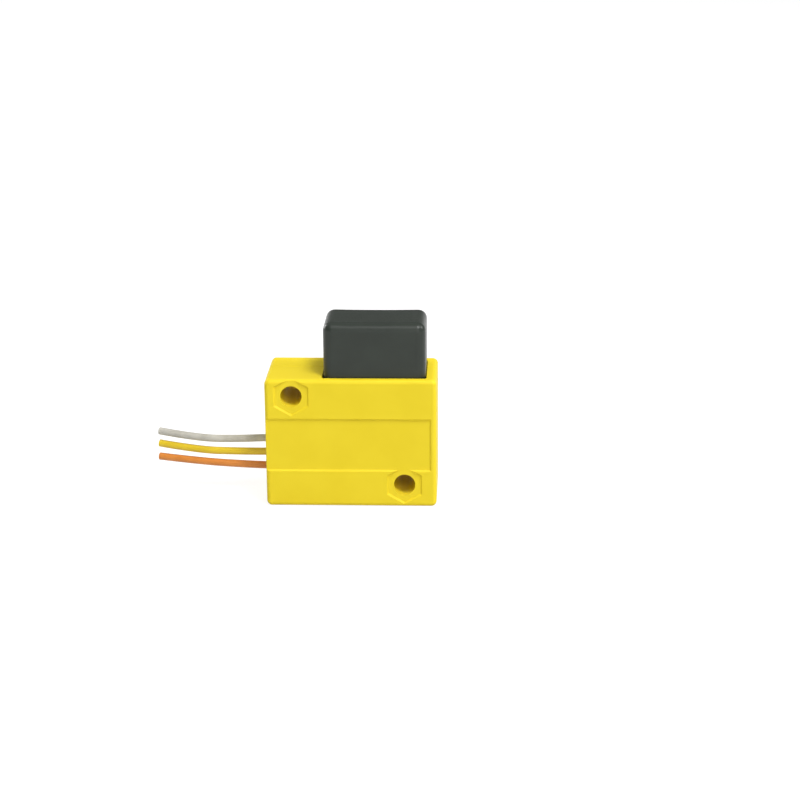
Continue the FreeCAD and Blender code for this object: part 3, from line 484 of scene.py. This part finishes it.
for node, look in mouldings.items():
    mesh = weldedCopy(node, look["piece"])
    item = newPiece(look["piece"], mesh, look["finish"], look["body"])
    weighted = item.modifiers.new("faceNormals", "WEIGHTED_NORMAL")
    weighted.keep_sharp = True
    weighted.weight = welding["faceWeight"]
    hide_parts(node)
print("mouldings welded")

# The rest of the CAD nodes keep their shape and get their finish
nodeFinishes = {
    "plunger": "naturalNylon", "spring_shelf": "naturalNylon", "lead_comb": "naturalNylon",
    "stop_pad": "stopRubber", "contact_block": "blackPhenolic", "contact_lever": "blackPhenolic",
    "common_terminal": "stampedBrass", "enable_terminal": "stampedBrass", "monitor_terminal": "stampedBrass",
    "bridge_contact": "bridgeBronze", "bridge_rivets": "stampedBrass", "pivot_pin": "zincSteel",
    "pivot_clip": "springSteel",
}
for node, finish in nodeFinishes.items():
    for materialSlot in nodes[node].material_slots:
        materialSlot.material = finishes[finish]
print("nodes finished:", len(nodeFinishes))

# Floor and light, in metres: a white floor that keeps a faint shadow and curls up far off, a soft key from
# the upper right, weaker lamps around it, and a sky that is bright overhead and dim at the horizon
studio = {"floorDrop": 0.05 * mm, "flatRings": (0.4, 1.2, 2.0), "coveStart": 3.0, "coveReach": 1.0,
          "coveRise": 0.5, "coveRows": 10, "around": 72, "floorGlow": 0.845, "floorShade": 0.26,
          "floorBounce": 0.60, "sky": (0.08, 0.5), "skyBetween": (0.3, 0.85), "aimHeight": 0.018}
lamps = {
    "keyLamp": {"place": (0.30, -0.36, 0.83), "size": 0.30, "power": 5.5},
    "sideLamp": {"place": (0.75, 0.05, 0.55), "size": 0.30, "power": 3.0},
    "topLamp": {"place": (0.0, -0.48, 0.78), "size": 0.50, "power": 0.7},
    "fillLamp": {"place": (0.25, -0.88, 0.30), "size": 0.80, "power": 2.6},
    "backLamp": {"place": (-0.75, 0.62, 0.30), "size": 0.50, "power": 5.0},
}


def seenRays(tree):
    # 1 for rays from the camera, a mirror or glass, and 0 for rays that only light things
    path = tree.nodes.new("ShaderNodeLightPath")
    total = path.outputs["Is Camera Ray"]
    for name in ("Is Glossy Ray", "Is Transmission Ray"):
        add = tree.nodes.new("ShaderNodeMath")
        add.operation = "MAXIMUM"
        tree.links.new(total, add.inputs[0])
        tree.links.new(path.outputs[name], add.inputs[1])
        total = add.outputs[0]
    return total


def floorPaint():
    material = bpy.data.materials.new("paleFloor")
    material.use_nodes = True
    tree = material.node_tree
    tree.nodes.clear()
    glow = tree.nodes.new("ShaderNodeEmission")
    glow.inputs["Strength"].default_value = studio["floorGlow"]
    shade = tree.nodes.new("ShaderNodeBsdfDiffuse")
    shade.inputs["Color"].default_value = (studio["floorShade"],) * 3 + (1,)
    bounce = tree.nodes.new("ShaderNodeBsdfDiffuse")
    bounce.inputs["Color"].default_value = (studio["floorBounce"],) * 3 + (1,)
    seen = tree.nodes.new("ShaderNodeAddShader")
    pick = tree.nodes.new("ShaderNodeMixShader")
    out = tree.nodes.new("ShaderNodeOutputMaterial")
    tree.links.new(glow.outputs[0], seen.inputs[0])
    tree.links.new(shade.outputs[0], seen.inputs[1])
    tree.links.new(seenRays(tree), pick.inputs[0])
    tree.links.new(bounce.outputs[0], pick.inputs[1])
    tree.links.new(seen.outputs[0], pick.inputs[2])
    tree.links.new(pick.outputs[0], out.inputs["Surface"])
    return material


def makeFloor():
    # flat rings out to coveStart, then a quarter of an ellipse that rises by coveRise over coveReach
    count, drop = studio["around"], studio["floorDrop"]
    bend = np.linspace(0, math.pi / 2, studio["coveRows"])
    radii = np.concatenate([studio["flatRings"], studio["coveStart"] + studio["coveReach"] * np.sin(bend)])
    flat = np.zeros(len(studio["flatRings"]))
    heights = np.concatenate([flat, studio["coveRise"] * (1 - np.cos(bend))]) - drop
    turn = np.linspace(0, 2 * math.pi, count, endpoint=False)
    rings = np.stack([np.outer(radii, np.cos(turn)), np.outer(radii, np.sin(turn)),
                      np.outer(heights, np.ones(count))], -1).reshape(-1, 3)
    corners = np.vstack([rings, [(0, 0, -drop)]])
    here = np.arange(count)
    after = (here + 1) % count
    middle = np.stack([np.full(count, len(rings)), here, after], -1)
    base = np.arange(len(radii) - 1)[:, None] * count
    nextRow = base + count
    bands = np.stack([base + here, nextRow + here, nextRow + after, base + after], -1).reshape(-1, 4)
    mesh = bpy.data.meshes.new("floor")
    mesh.from_pydata(corners, [], middle.tolist() + bands.tolist())
    mesh.shade_smooth()
    mesh.materials.append(floorPaint())
    item = bpy.data.objects.new("floor", mesh)
    scene.collection.objects.link(item)


def makeSky():
    world = bpy.data.worlds.new("studioSky")
    world.use_nodes = True
    scene.world = world
    tree = world.node_tree
    direction = tree.nodes.new("ShaderNodeTexCoord")
    split = tree.nodes.new("ShaderNodeSeparateXYZ")
    tree.links.new(direction.outputs["Generated"], split.inputs[0])
    strength = remap(tree, split.outputs["Z"], *studio["sky"], *studio["skyBetween"])
    tree.nodes["Background"].inputs["Color"].default_value = (1, 1, 1, 1)
    tree.links.new(strength, tree.nodes["Background"].inputs["Strength"])


def makeLamp(name, look):
    data = bpy.data.lights.new(name, "AREA")
    data.shape = "DISK"
    data.size = look["size"]
    data.energy = look["power"]
    item = bpy.data.objects.new(name, data)
    item.location = look["place"]
    aim = Vector((0, 0, studio["aimHeight"])) - item.location
    item.rotation_euler = aim.to_track_quat("-Z", "Y").to_euler()
    scene.collection.objects.link(item)


makeFloor()
makeSky()
for name, look in lamps.items():
    makeLamp(name, look)
print("studio lit")
